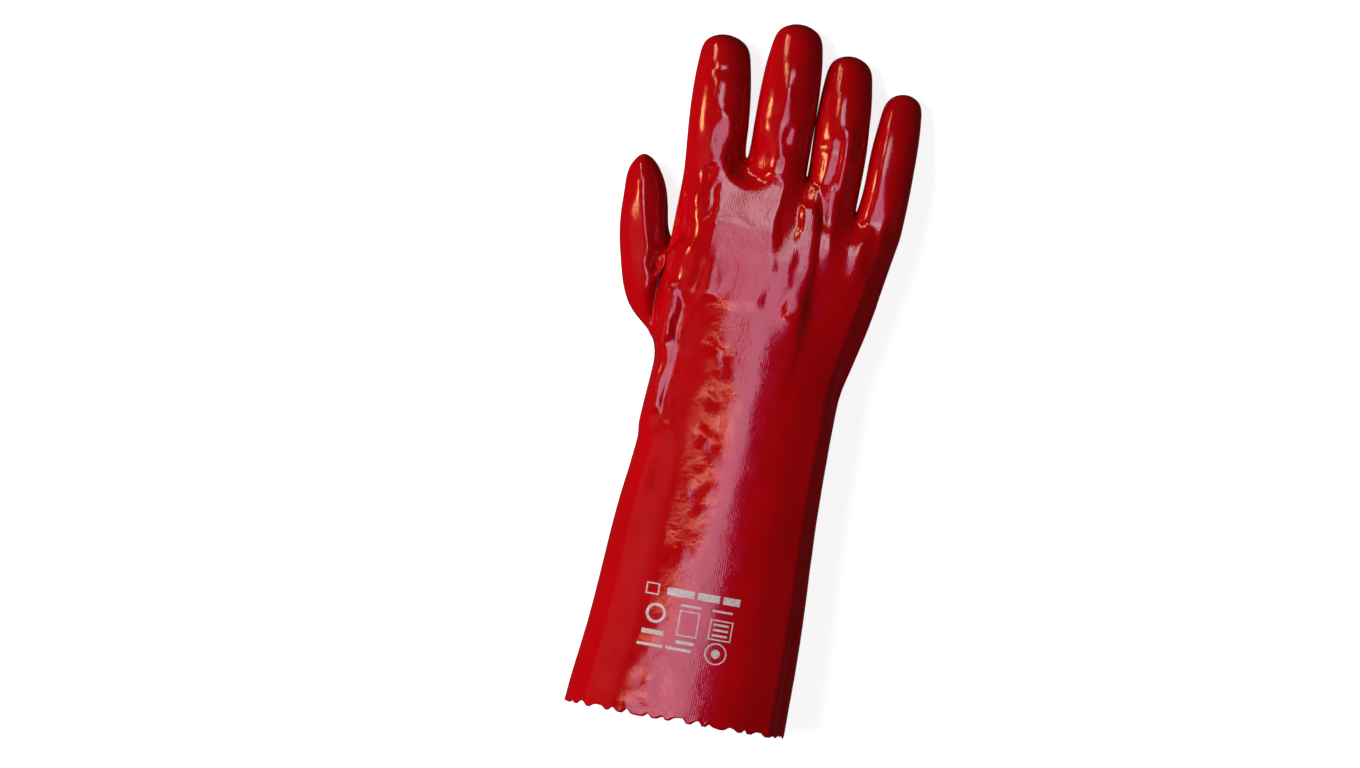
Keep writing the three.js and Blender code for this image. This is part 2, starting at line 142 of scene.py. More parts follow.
# Folds and ridges of the skin. path: places (across, along) that the middle line runs through. left, right:
# how far its slopes reach on each side of the path. deep: at the path's two ends, and below 0 it swells out.
# square: 2 is round, and more is flat with steep sides.
Fold = namedtuple("Fold", "path left right deep square", defaults=[2])
BACK_FOLDS = [
    # The skin beyond the middle finger's bone lies deeper, from the web to the wrist
    Fold([(0.0215, 0.316), (0.029, 0.311), (0.0335, 0.294)], 0.012, 0.0024, (0.0008, 0.0016)),
    Fold([(0.0335, 0.294), (0.035, 0.27), (0.0355, 0.24)], 0.026, 0.0026, (0.0016, 0.0022)),
    Fold([(0.0355, 0.24), (0.035, 0.215), (0.03, 0.18)], 0.026, 0.0036, (0.0022, 0.0002)),
    # That bone's ridge, near the wrist
    Fold([(0.026, 0.234), (0.02, 0.215)], 0.006, 0.0085, (-0.0006, -0.0002)),
    # The ring finger's flat crest and its shoulder
    Fold([(0.0405, 0.343), (0.0412, 0.325), (0.04, 0.3), (0.0405, 0.276)], 0.004, 0.0045, (-0.0014, -0.0008)),
    Fold([(0.036, 0.336), (0.038, 0.312)], 0.002, 0.002, (0.0003, 0.0006)),
    # The little finger's bone
    Fold([(0.0615, 0.36), (0.0595, 0.338), (0.0585, 0.306), (0.0575, 0.266)],
         0.0055, 0.005, (-0.0016, -0.0014)),
    # The far side of the hand falls away
    Fold([(0.07, 0.27), (0.0655, 0.2)], 0.011, 0.011, (0.0016, 0.0028)),
    # The bowl under the web of the index and middle fingers
    Fold([(-0.0125, 0.3185), (-0.0125, 0.321)], 0.0123, 0.0123, (0.003, 0.003), 4),
    # The thumb's root meets the side of the hand
    Fold([(-0.0475, 0.206), (-0.0505, 0.222), (-0.053, 0.238), (-0.0535, 0.252)],
         0.006, 0.002, (0.0006, 0.0026)),
    Fold([(-0.0535, 0.252), (-0.0515, 0.261), (-0.0478, 0.267)], 0.006, 0.0022, (0.0026, 0.0018)),
    Fold([(-0.047, 0.282), (-0.0455, 0.274)], 0.0075, 0.0075, (0.0028, 0.003)),
    # The thumb's crest
    Fold([(-0.0736, 0.314), (-0.0702, 0.29), (-0.0608, 0.259)], 0.0034, 0.0034, (-0.0007, -0.001)),
    # The thumb's side of the wrist swells out
    Fold([(-0.0475, 0.236), (-0.0465, 0.215), (-0.045, 0.19), (-0.0435, 0.164)],
         0.009, 0.009, (-0.0018, -0.0028)),
    # The forearm's crown, and the fuller skin on its left next to the rim
    Fold([(0.011, 0.225), (0.0105, 0.17), (0.007, 0.11)], 0.011, 0.011, (-0.0006, -0.0003)),
    Fold([(-0.034, 0.075), (-0.037, 0.0)], 0.014, 0.014, (-0.0006, -0.0028)),
    # A shallow hollow on the crown's left
    Fold([(-0.014, 0.195), (-0.0135, 0.15), (-0.017, 0.1)], 0.009, 0.009, (0.0005, 0.0005)),
    # Dents along the forearm
    Fold([(-0.0375, 0.157), (-0.0425, 0.153)], 0.0045, 0.0045, (0.0011, 0.001)),
    Fold([(-0.0345, 0.137), (-0.0325, 0.128)], 0.0048, 0.0048, (0.0013, 0.0008)),
    Fold([(-0.0175, 0.212), (-0.0095, 0.208)], 0.0038, 0.0038, (0.0004, 0.0004)),
    Fold([(-0.0125, 0.183), (-0.0055, 0.179)], 0.0038, 0.0038, (0.0004, 0.0003)),
    Fold([(-0.0035, 0.158), (-0.0125, 0.162)], 0.0038, 0.0038, (0.0003, 0.0004)),
    Fold([(-0.0045, 0.137), (-0.0115, 0.129)], 0.0038, 0.0038, (0.0004, 0.0003)),
    # A crease along the gauntlet's right side
    Fold([(0.0552, 0.16), (0.058, 0.113), (0.0585, 0.06), (0.0595, 0.0)], 0.0024, 0.0024, (0.0004, 0.0013)),
    # Where the fingers bend
    Fold([(-0.0445, 0.3665), (-0.026, 0.3665)], 0.0024, 0.0024, (0.0004, 0.0006)),
    Fold([(-0.0065, 0.346), (0.0125, 0.349)], 0.0034, 0.0034, (0.0004, 0.0005)),
    Fold([(0.0005, 0.331), (0.0125, 0.329)], 0.0034, 0.0034, (0.0004, 0.0003)),
    Fold([(0.027, 0.334), (0.046, 0.333)], 0.003, 0.003, (0.0005, 0.0004)),
]
# A fold is gone where the skin looks its way less than the first share, and whole from the second on
FOLD_FACING = (-0.1, 0.4)
# Past this many times its width a fold is left out
FOLD_REACH = 3

# Waves of chance. wave: how long they are. height: how far they reach. seed: where in the noise they lie.
Unevenness = namedtuple("Unevenness", "wave height seed")

# Fields of the back that lie flat over the bones. across, along: the middle. wide, long: the size. fade: how
# wide the border is that runs into the skin around it. height: of the middle. rise, fall: slopes across and
# along.
Field = namedtuple("Field", "across along wide long fade height rise fall")
FIELDS = [
    # The slope from the knuckles to the thumb's side in three steps along, and the flat beyond it in three
    Field(-0.0335, 0.2495, 0.012, 0.024, 0.01, 0.0434, 0.2, -0.08),
    Field(-0.0335, 0.272, 0.012, 0.025, 0.01, 0.0411, 0.22, -0.17),
    Field(-0.0335, 0.2965, 0.012, 0.026, 0.01, 0.0361, 0.2, -0.22),
    Field(-0.0095, 0.2495, 0.0335, 0.024, 0.007, 0.0463, 0.055, -0.1),
    Field(-0.0095, 0.272, 0.039, 0.025, 0.006, 0.0434, 0.055, -0.175),
    Field(-0.0095, 0.2965, 0.037, 0.026, 0.004, 0.03814, 0.055, -0.25),
    # The terrace over the ring finger's side
    Field(0.0265, 0.249, 0.0105, 0.026, 0.005, 0.0469, 0.0, -0.1),
    Field(0.0265, 0.272, 0.0105, 0.024, 0.005, 0.0434, 0.0, -0.2),
    Field(0.0268, 0.2905, 0.0095, 0.019, 0.004, 0.0395, 0.0, -0.22),
    # A shoulder along the thumb's side of the wrist
    Field(-0.043, 0.224, 0.0085, 0.036, 0.006, 0.0416, 0.25, 0.0),
    Field(-0.0398, 0.19, 0.0075, 0.042, 0.005, 0.0411, 0.23, 0.0),
    # Crests of the fingers
    Field(-0.0265, 0.311, 0.01, 0.016, 0.004, 0.0342, 0.03, -0.18),
    Field(-0.0305, 0.3265, 0.0105, 0.03, 0.007, 0.0338, 0.0, -0.04),
    Field(0.0022, 0.3545, 0.006, 0.018, 0.004, 0.0321, 0.0, -0.13),
    Field(0.0075, 0.336, 0.005, 0.012, 0.004, 0.0335, -0.03, -0.1),
    Field(0.0042, 0.3185, 0.005, 0.01, 0.004, 0.0354, 0.0, -0.13),
    Field(0.034, 0.326, 0.0075, 0.028, 0.005, 0.0323, 0.0, -0.13),
]
# How the fields' borders wander across and along
FIELD_WANDER = [Unevenness(0.014, 0.003, 41.3), Unevenness(0.014, 0.003, 57.9)]
# All the fields lie beyond this place along
FIELDS_START = 0.16
# A field is gone where the skin looks up less than the first share, and whole from the second on
FIELD_FACING = (0.3, 0.6)

# The palm's hollow, and its folds round the thumb's root and across the palm
PALM_FOLDS = [
    Fold([(-0.0065, 0.24), (0.026, 0.264)], 0.0205, 0.0205, (0.0036, 0.0036)),
    Fold([(-0.03, 0.262), (-0.012, 0.236), (-0.008, 0.21)], 0.004, 0.004, (0.0016, 0.0008)),
    Fold([(-0.036, 0.29), (0.01, 0.281), (0.052, 0.279)], 0.004, 0.004, (0.0009, 0.0014)),
]

# Unevenness of the dipped skin
UNEVENNESS = [
    Unevenness(0.034, 0.0002, 3.1),
    Unevenness(0.012, 0.00009, 7.7),
    Unevenness(0.005, 0.00003, 12.3),
]
# Where the skin is crumpled a little more, around a path on the back
CRUMPLE = Unevenness(0.0085, 0.0003, 21.9)
Crumpled = namedtuple("Crumpled", "path wide")
CRUMPLED = [
    Crumpled([(-0.009, 0.21), (-0.004, 0.175), (-0.007, 0.13), (-0.012, 0.09)], 0.0065),
    Crumpled([(-0.022, 0.05), (-0.018, 0.01)], 0.01),
    Crumpled([(-0.042, 0.165), (-0.037, 0.125)], 0.006),
    Crumpled([(-0.0575, 0.245), (-0.0545, 0.262)], 0.005),
    Crumpled([(-0.026, 0.262), (-0.016, 0.243)], 0.006),
    Crumpled([(0.002, 0.368), (0.004, 0.318)], 0.008),
    Crumpled([(-0.037, 0.372), (-0.034, 0.34)], 0.008),
    Crumpled([(0.036, 0.36), (0.037, 0.335)], 0.006),
]
# Past this many times its width a crumpled patch is left out
PATCH_REACH = 2

SMOOTHING_LEVELS = 4
FITTING_LEVELS = 2
FITTING_ROUNDS = 6
NEARLY_ZERO = 1e-9
# How wide the bend is where the underside leaves the surface
SETTLED_BEND = 0.0008
# The skin has its finest faces this close to the rim
FINE_RIM = 0.006
# It has them on the back too, up to this place along, where it looks up more than this share
FINE_END = 0.34
FINE_FACING = 0.05
# The rim's edge lies this share of the way from the outside to the inside, and stands out a little
EDGE_SHARE = 0.6
EDGE_OUT = 0.0001
# How the teeth of the pinked rim wander, in teeth, and how their depth varies
Wave = namedtuple("Wave", "size speed start")
PINKING_WANDER = [Wave(0.16, 2.4, 0), Wave(0.1, 5.3, 1)]
PINKING_CHANGE = Wave(0.2, 1.7, 2)


def mix(start, end, share):
    return start + (end - start) * share


# The cage

class Cage:
    """A coarse mesh of quads, which smoothing turns into the glove's skin."""

    def __init__(self):
        self.points = []
        self.quads = []

    def add(self, x, y, z):
        self.points.append((x, y, z))
        return len(self.points) - 1

    def bridge(self, lower, upper, skipped=()):
        for i, point in enumerate(lower):
            after = (i + 1) % len(lower)
            if i not in skipped:
                self.quads.append((point, lower[after], upper[after], upper[i]))


Shape = namedtuple("Shape", "left width bottom height square")


def gauntlet_shape(row):
    width = mix(WRIST_WIDTH, CUFF_WIDTH, row.flare)
    height = mix(WRIST_HEIGHT, CUFF_HEIGHT, row.flare)
    return Shape(row.aside * WRIST_WIDTH - width / 2, width, row.lift * WRIST_HEIGHT, height, row.square)


def hand_shape(row, palm_width):
    width = mix(WRIST_WIDTH, palm_width, row.spread)
    height = mix(WRIST_HEIGHT, KNUCKLE_HEIGHT, row.thin)
    return Shape(row.aside * WRIST_WIDTH - width / 2, width, row.lift * WRIST_HEIGHT, height, row.square)


def finger_starts():
    """Where each finger starts across the palm, and last the palm's width."""
    starts = [0.0]
    for finger in FINGERS:
        starts.append(starts[-1] + (finger.width + finger.gap) * FINGER_WIDTH)
    return starts


def column_shares(starts):
    """Where a section's columns lie across it: an edge, each finger's middle and the web after it, and the
    other edge."""
    palm_width = starts[-1]
    shares = [CORNER_SHARE]
    for i, finger in enumerate(FINGERS):
        shares.append((starts[i] + finger.width * FINGER_WIDTH / 2) / palm_width)
        shares.append((starts[i + 1] - finger.gap * FINGER_WIDTH / 2) / palm_width)
    shares[-1] = 1 - CORNER_SHARE
    return shares


def section_ring(cage, shape, shares, place):
    """Adds a section: its back from the thumb's side, the far side, its palm, and the thumb's side."""
    middle = shape.bottom + shape.height / 2
    backs, palms = [], []
    for column, share in enumerate(shares):
        x = shape.left + share * shape.width
        rise = shape.height / 2 * (1 - abs(2 * share - 1) ** shape.square) ** (1 / shape.square)
        y, valley = place(column)
        backs.append(cage.add(x, y, middle + rise - valley))
        palms.append(cage.add(x, y, middle - rise + valley))
    far_side = cage.add(shape.left + shape.width, place(len(shares) - 1)[0], middle)
    thumb_side = cage.add(shape.left, place(0)[0], middle)
    return backs + [far_side] + palms[::-1] + [thumb_side]


def grow_digit(cage, root, stations, tip):
    """Adds a digit's eight-sided rings onto the loop of its root, and closes its tip."""
    lower = root
    for middle, heading, width, height in stations:
        ring = []
        for i in range(8):
            turn = math.radians(135 - 45 * i)
            side = math.cos(turn) * width / 2
            x = middle[0] + side * math.cos(heading)
            y = middle[1] + side * math.sin(heading)
            ring.append(cage.add(x, y, middle[2] + math.sin(turn) * height / 2))
        cage.bridge(lower, ring)
        lower = ring
    end = cage.add(*tip)
    for i in range(1, 8, 2):
        cage.quads.append((end, lower[i], lower[(i + 1) % 8], lower[(i + 2) % 8]))


def at_level(y, valley=0.0, valleys=()):
    """The place of a section's columns: all at one distance along, and some of them lower."""
    def place(column):
        return y, valley if column in valleys else 0.0
    return place


def add_sections(cage, starts, shares, webs, web_ends):
    """Adds the sections from the rim to the fingers' roots."""
    rings = []
    for row in GAUNTLET_SECTIONS:
        level = at_level(row.along * GAUNTLET_LENGTH)
        rings.append(section_ring(cage, gauntlet_shape(row), shares, level))
    for row in HAND_SECTIONS:
        valley = VALLEY_BEFORE_ROOTS * KNUCKLE_HEIGHT if row is HAND_SECTIONS[-1] else 0.0
        level = at_level(GAUNTLET_LENGTH + row.along * HAND_LENGTH, valley, webs)
        rings.append(section_ring(cage, hand_shape(row, starts[-1]), shares, level))

    def root_place(column):
        if column in webs:
            return web_ends[column // 2 - 1] - WEB_DEPTH, VALLEY_AT_ROOTS * KNUCKLE_HEIGHT
        finger = FINGERS[min(column // 2, len(FINGERS) - 1)]
        return HAND_END + finger.root * FINGER_LENGTH - (0.0 if column % 2 else WEB_DEPTH / 2), 0.0

    rings.append(section_ring(cage, hand_shape(ROOT_SECTION, starts[-1]), shares, root_place))
    return rings


def add_fingers(cage, root, starts, shares, webs, web_ends):
    """Adds the fingers onto the root's ring, with a point in the middle of each web."""
    shape = hand_shape(ROOT_SECTION, starts[-1])
    middle_z = shape.bottom + shape.height / 2
    web_points = [
        cage.add(shape.left + shares[column] * shape.width, end, middle_z)
        for column, end in zip(webs, web_ends)
    ]
    side = len(root) - 1
    for i, finger in enumerate(FINGERS):
        backs = root[2 * i:2 * i + 3]
        palms = [root[side - 1 - (2 * i + step)] for step in (2, 1, 0)]
        right = web_points[i] if i < len(web_points) else root[len(shares)]
        left = web_points[i - 1] if i else root[side]
        root_x = shape.left + starts[i] + finger.width * FINGER_WIDTH / 2
        root_y = HAND_END + finger.root * FINGER_LENGTH
        height = finger.height * FINGER_HEIGHT

        def place(row):
            x = root_x + finger.lean * FINGER_LENGTH * row.along + finger.shift * FINGER_WIDTH
            y = root_y + finger.length * FINGER_LENGTH * row.along
            return x, y, mix(middle_z, row.high * height / 2, row.drop)

        stations = [
            (place(row), 0.0, row.wide * finger.width * finger.plump * FINGER_WIDTH, row.high * height)
            for row in FINGER_RINGS
        ]
        grow_digit(cage, backs + [right] + palms + [left], stations, place(FINGER_TIP))


def add_thumb(cage, low, mid, high):
    """Adds the thumb onto the hole in the side of three sections."""
    side = len(mid) - 1
    thumb_root = cage.points[mid[side]]

    def place(row):
        x = thumb_root[0] - row.out * THUMB_LENGTH
        return x, thumb_root[1] + row.on * THUMB_LENGTH, row.up * THUMB_HEIGHT

    loop = [low[side], mid[side], high[side], high[side - 1], high[side - 2], mid[side - 2], low[side - 2],
            low[side - 1]]
    stations = [
        (place(row), math.radians(row.turn), row.wide * THUMB_WIDTH, row.high * THUMB_HEIGHT)
        for row in THUMB_RINGS
    ]
    grow_digit(cage, loop, stations, place(THUMB_TIP))


def glove_cage():
    cage = Cage()
    starts = finger_starts()
    shares = column_shares(starts)
    webs = range(2, len(shares) - 1, 2)
    web_ends = [HAND_END + past * FINGER_LENGTH for past in WEBS_PAST]
    rings = add_sections(cage, starts, shares, webs, web_ends)
    side = len(rings[0]) - 1
    hole = len(GAUNTLET_SECTIONS) + 1
    for i, (lower, upper) in enumerate(zip(rings, rings[1:])):
        cage.bridge(lower, upper, (side - 2, side - 1) if i in (hole, hole + 1) else ())
    add_fingers(cage, rings[-1], starts, shares, webs, web_ends)
    add_thumb(cage, *rings[hole:hole + 3])
    # The middle of the thumb's hole is in no quad
    used, quads = np.unique(np.array(cage.quads), return_inverse=True)
    return np.array(cage.points)[used], quads.reshape(-1, 4)


# Smoothing

def sums(size, index, values):
    """The sum of the values that share each index."""
    total = np.zeros((size, values.shape[-1]))
    np.add.at(total, index, values)
    return total


def smooth(points, quads):
    """One Catmull-Clark step. The first points of the result are the old ones, moved. Quad q becomes quads
    4q to 4q + 3, each from an old corner by the next side's middle and the quad's centre."""
    sides = np.stack([quads, np.roll(quads, -1, axis=1)], axis=2).reshape(-1, 2)
    ends, side_edge, uses = np.unique(np.sort(sides, axis=1), axis=0, return_inverse=True, return_counts=True)
    side_edge = side_edge.reshape(-1, 4)
    centres = points[quads].mean(axis=1)
    middles = points[ends].mean(axis=1)
    beside = sums(len(ends), side_edge.ravel(), np.repeat(centres, 4, axis=0))
    on_rim = uses == 1
    edge_points = np.where(on_rim[:, None], middles, middles / 2 + beside / 4)

    valence = np.bincount(quads.ravel(), minlength=len(points))[:, None]
    centre_mean = sums(len(points), quads.ravel(), np.repeat(centres, 4, axis=0)) / valence
    edge_count = np.bincount(ends.ravel(), minlength=len(points))[:, None]
    edge_mean = sums(len(points), ends.ravel(), np.repeat(middles, 2, axis=0)) / edge_count
    moved = (centre_mean + 2 * edge_mean + (valence - 3) * points) / valence
    rim_ends = ends[on_rim]
    rim_sum = sums(len(points), rim_ends.ravel(), np.repeat(middles[on_rim], 2, axis=0))
    rim = np.unique(rim_ends)
    moved[rim] = (rim_sum[rim] + 2 * points[rim]) / 4

    edge_index = len(points) + side_edge
    centre_index = np.broadcast_to((len(points) + len(ends) + np.arange(len(quads)))[:, None], quads.shape)
    children = np.stack([quads, edge_index, centre_index, np.roll(edge_index, 1, axis=1)], axis=2)
    return np.concatenate([moved, edge_points, centres]), children.reshape(-1, 4)


def smooth_through(points, quads):
    """Smooths a cage that is swollen first, so that the smooth skin passes through the cage's points."""
    swollen = points.copy()
    for _ in range(FITTING_ROUNDS):
        reached, faces = swollen, quads
        for _ in range(FITTING_LEVELS):
            reached, faces = smooth(reached, faces)
        swollen += points - reached[:len(points)]
    skin, faces = swollen, quads
    for _ in range(SMOOTHING_LEVELS):
        skin, faces = smooth(skin, faces)
    return skin, faces


def normals_of(points, quads):
    corners = points[quads]
    across = np.cross(corners[:, 2] - corners[:, 0], corners[:, 3] - corners[:, 1])
    normals = sums(len(points), quads.ravel(), np.repeat(across, 4, axis=0))
    return normals / np.linalg.norm(normals, axis=1, keepdims=True)


# The relief of the skin

def smoothstep(low, high, value):
    share = np.clip((value - low) / (high - low), 0, 1)
    return share * share * (3 - 2 * share)


def path_distance(places, path):
    """Each place's distance to a path, the share of the path where it is nearest, and its side of the path
    there, from -1 on the left to 1 on the right."""
    path = np.array(path)
    lengths = np.linalg.norm(np.diff(path, axis=0), axis=1)
    passed = np.concatenate([[0], np.cumsum(lengths)])
    nearest = np.full(len(places), np.inf)
    share = np.zeros(len(places))
    side = np.zeros(len(places))
    for start, end, length, before in zip(path, path[1:], lengths, passed):
        ahead = (end - start) / length
        from_start = places - start
        run = np.clip(from_start @ ahead, 0, length)
        away = np.linalg.norm(from_start - run[:, None] * ahead, axis=1)
        off = from_start[:, 0] * ahead[1] - from_start[:, 1] * ahead[0]
        closer = away < nearest
        nearest[closer] = away[closer]
        share[closer] = (before + run[closer]) / passed[-1]
        side[closer] = off[closer] / np.maximum(away[closer], NEARLY_ZERO)
    return nearest, share, side


def fold_depth(points, facing, folds):
    """How deep the folds press the skin at each point. facing: how far its normal looks the folds' way."""
    depth = np.zeros(len(points))
    for fold in folds:
        reach = FOLD_REACH * max(fold.left, fold.right)
        low = np.min(fold.path, axis=0) - reach
        high = np.max(fold.path, axis=0) + reach
        near = np.all((points[:, :2] > low) & (points[:, :2] < high), axis=1)
        away, share, side = path_distance(points[near, :2], fold.path)
        wide = mix(fold.left, fold.right, (side + 1) / 2)
        depth[near] += mix(*fold.deep, share) * np.exp(-((away / wide) ** fold.square))
    return depth * smoothstep(*FOLD_FACING, facing)


def field_weight(place, middle, size, fade):
    """1 inside a field, and 0 beyond its border."""
    return smoothstep(-fade / 2, fade / 2, size / 2 - np.abs(place - middle))


def flattened(points, facing):
    """The points, with the fields' heights on the back."""
    height = points[:, 2].copy()
    near = np.flatnonzero((facing > FIELD_FACING[0]) & (points[:, 1] > FIELDS_START))
    place = points[near]
    wander = [noise_at(place, row) for row in FIELD_WANDER]
    for field in FIELDS:
        weight = field_weight(place[:, 0] + wander[0], field.across, field.wide, field.fade)
        weight *= field_weight(place[:, 1] + wander[1], field.along, field.long, field.fade)
        weight *= smoothstep(*FIELD_FACING, facing[near])
        level = field.rise * (place[:, 0] - field.across) + field.fall * (place[:, 1] - field.along)
        height[near] = mix(height[near], field.height + level, weight)
    return np.column_stack([points[:, :2], height])


def noise_at(points, row):
    shift = Vector((row.seed, row.seed, row.seed))
    return np.array([noise.noise(Vector(point) / row.wave + shift) for point in points]) * row.height


def uneven_depth(points, facing):
    depth = sum(noise_at(points, row) for row in UNEVENNESS)
    for patch in CRUMPLED:
        low = np.min(patch.path, axis=0) - PATCH_REACH * patch.wide
        high = np.max(patch.path, axis=0) + PATCH_REACH * patch.wide
        near = np.all((points[:, :2] > low) & (points[:, :2] < high), axis=1) & (facing > 0)
        away = path_distance(points[near, :2], patch.path)[0]
        depth[near] += noise_at(points[near], CRUMPLE) * np.exp(-((away / patch.wide) ** 2))
    return depth


def with_relief(points, quads):
    """The skin with its fields, folds and unevenness."""
    points = flattened(points, normals_of(points, quads)[:, 2])
    normals = normals_of(points, quads)
    up = normals[:, 2]
    folded = fold_depth(points, up, BACK_FOLDS) + fold_depth(points, -up, PALM_FOLDS)
    depth = folded + uneven_depth(points, up)
    return points - normals * depth[:, None]


def settle(z):
    """Flattens the underside on the surface, with a soft bend where it leaves it."""
    low = z - SETTLED
    return np.maximum((low + np.sqrt(low**2 + SETTLED_BEND**2)) / 2 - SETTLED_BEND / 8, 0)


# The pinked rim

def rim_loop(quads):
    """The points of the rim in order."""
    sides = np.stack([quads, np.roll(quads, -1, axis=1)], axis=2).reshape(-1, 2)
    known = {tuple(side) for side in sides.tolist()}
    after = {start: end for start, end in known if (end, start) not in known}
    start = min(after)
    loop = [start]
    while after[loop[-1]] != start:
        loop.append(after[loop[-1]])
    return loop


def wave_at(wave, phase):
    return wave.size * np.sin(phase * wave.speed + wave.start)


def pink_rim(points, loop):
    """Waves the rim, and the skin next to it a little less."""
    rim = points[loop]
    steps = np.linalg.norm(np.roll(rim, -1, axis=0) - rim, axis=1)
    passed = np.concatenate([[0], np.cumsum(steps)[:-1]])
    teeth = round(steps.sum() / PINKING_PITCH)
    near = np.flatnonzero(points[:, 1] < FINE_RIM)
    flat = points[near][:, None, [0, 2]] - rim[None, :, [0, 2]]
    phase = passed[np.argmin((flat**2).sum(axis=2), axis=1)] / steps.sum() * teeth
    wander = sum(wave_at(wave, phase) for wave in PINKING_WANDER)
    size = 1 + wave_at(PINKING_CHANGE, phase)
    cut = PINKING_DEPTH * size * (0.5 - 0.5 * np.cos(2 * math.pi * (phase + wander)))
    fade = 1 - points[near, 1] / FINE_RIM
    points[near, 1] += cut * fade


# The shell

def mixed_faces(coarse_count, quads, fine):
    """The faces of the skin. A coarse quad that isn't fine stays whole, with the middles of the sides that
    it shares with fine ones."""
    children = quads.reshape(coarse_count, 4, 4)
    corners, middles = children[:, :, 0], children[:, :, 1]
    shared = np.zeros(quads.max() + 1, bool)
    shared[middles[fine].ravel()] = True
    faces = children[fine].reshape(-1, 4).tolist()
    for corner, middle in zip(corners[~fine].tolist(), middles[~fine].tolist()):
        faces.append([p for c, m in zip(corner, middle) for p in ((c, m) if shared[m] else (c,))])
    return faces


def build_shell():
    """The shell's points, the faces of its coat, and those of its lining, each with its part of the rim."""
    cage_points, cage_quads = glove_cage()
    points, quads = smooth_through(cage_points, cage_quads)
    points = with_relief(points, quads)
    loop = rim_loop(quads)
    points[loop, 1] = 0.0
    points[:, 2] = settle(points[:, 2])
    normals = normals_of(points, quads)
    normals[loop, 1] = 0.0
    normals /= np.linalg.norm(normals, axis=1, keepdims=True)
    inside = points - normals * WALL
    pink_rim(points, loop)
    pink_rim(inside, loop)

    coarse_count = len(quads) // 4
    coarse = quads.reshape(coarse_count, -1)
    middle = points[coarse].mean(axis=1)
    facing = normals[coarse].mean(axis=1)[:, 2]
    at_rim = middle[:, 1] < FINE_RIM
    on_back = (facing > FINE_FACING) & (middle[:, 1] < FINE_END)
    outer = mixed_faces(coarse_count, quads, at_rim | on_back)
    inner = mixed_faces(coarse_count, quads, at_rim)

    count = len(points)
    inner = [[p + count for p in face[::-1]] for face in inner]
    edge = mix(points[loop], inside[loop], EDGE_SHARE) - np.array([0, EDGE_OUT, 0])
    edge_index = list(range(2 * count, 2 * count + len(loop)))
    rim_faces, lining_rim = [], []
    for i, at in enumerate(loop):
        after = (i + 1) % len(loop)
        rim_faces.append([loop[after], at, edge_index[i], edge_index[after]])
        lining_rim.append([edge_index[after], edge_index[i], at + count, loop[after] + count])
    coat = outer + rim_faces
    lining = inner + lining_rim
    return np.concatenate([points, inside, edge]), coat, lining


def centring(points):
    """The move that puts the skin's box in the middle of the frame's."""
    middle = (points.min(axis=0) + points.max(axis=0)) / 2
    return np.array([(cad_low.x + cad_high.x) / 2 - middle[0], (cad_low.y + cad_high.y) / 2 - middle[1], 0])


def mesh_object(name, points, faces, materials, smooth_faces=True):
    """A new object of the points that the faces use."""
    used = np.unique(np.concatenate([np.array(face) for face in faces]))
    renumber = np.zeros(len(points), int)
    renumber[used] = np.arange(len(used))
    mesh = bpy.data.meshes.new(name)
    mesh.from_pydata(points[used].tolist(), [], [renumber[face].tolist() for face in faces])
    for material in materials:
        mesh.materials.append(material)
    mesh.polygons.foreach_set("use_smooth", [smooth_faces] * len(mesh.polygons))
    obj = bpy.data.objects.new(name, mesh)
    bpy.context.scene.collection.objects.link(obj)
    return obj


# Materials

RED = (0.55, 0.0004, 0.003, 1)
LIGHT_RED = (0.61, 0.0006, 0.0042, 1)
SPECK_RED = (0.16, 0.001, 0.002, 1)
SHADED_COTTON = (0.58, 0.42, 0.36, 1)
COTTON = (0.85, 0.76, 0.68, 1)
WORN_INK = (0.62, 0.4, 0.4, 1)
INK = (0.86, 0.82, 0.8, 1)
# One rib and one row of the knit, as it shows through the coating and on the inside
COAT_WALE = 0.00125
COAT_COURSE = 0.00105
LINER_WALE = 0.0016
LINER_COURSE = 0.0013
# The sockets of a Mix node that take and give colours
MIX_COLOURS = (6, 7)
MIX_RESULT = 2


class Nodes:
    """Adds nodes to a material, and links or sets their inputs by name."""

    def __init__(self, name):
        self.material = bpy.data.materials.new(name)
        self.material.use_nodes = True
        self.tree = self.material.node_tree
        self.shader = self.tree.nodes["Principled BSDF"]

    def add(self, kind, inputs=None, **settings):
        node = self.tree.nodes.new(kind)
        for key, value in settings.items():
            setattr(node, key, value)
        self.fill(node, inputs or {})
        return node

    def fill(self, node, inputs):
        for key, value in inputs.items():
            if isinstance(value, bpy.types.NodeSocket):
                self.tree.links.new(value, node.inputs[key])
            else:
                node.inputs[key].default_value = value

    def noise(self, vector, scale, detail=2.0, roughness=0.5):
        inputs = {"Vector": vector, "Scale": scale, "Detail": detail, "Roughness": roughness}
        return self.add("ShaderNodeTexNoise", inputs).outputs[0]

    def ranged(self, value, low, high, to_low, to_high):
        inputs = {"Value": value, "From Min": low, "From Max": high, "To Min": to_low, "To Max": to_high}
        return self.add("ShaderNodeMapRange", inputs).outputs[0]

    def maths(self, operation, first, second=0.0):
        return self.add("ShaderNodeMath", {0: first, 1: second}, operation=operation).outputs[0]

    def blend(self, share, first, second):
        node = self.add("ShaderNodeMix", data_type="RGBA")
        self.fill(node, {"Factor": share})
        self.fill(node, dict(zip(MIX_COLOURS, (first, second))))
        return node.outputs[MIX_RESULT]

    def bump(self, height, strength, distance, normal=None):
        inputs = {"Height": height, "Strength": strength, "Distance": distance}
        if normal is not None:
            inputs["Normal"] = normal
        return self.add("ShaderNodeBump", inputs).outputs[0]


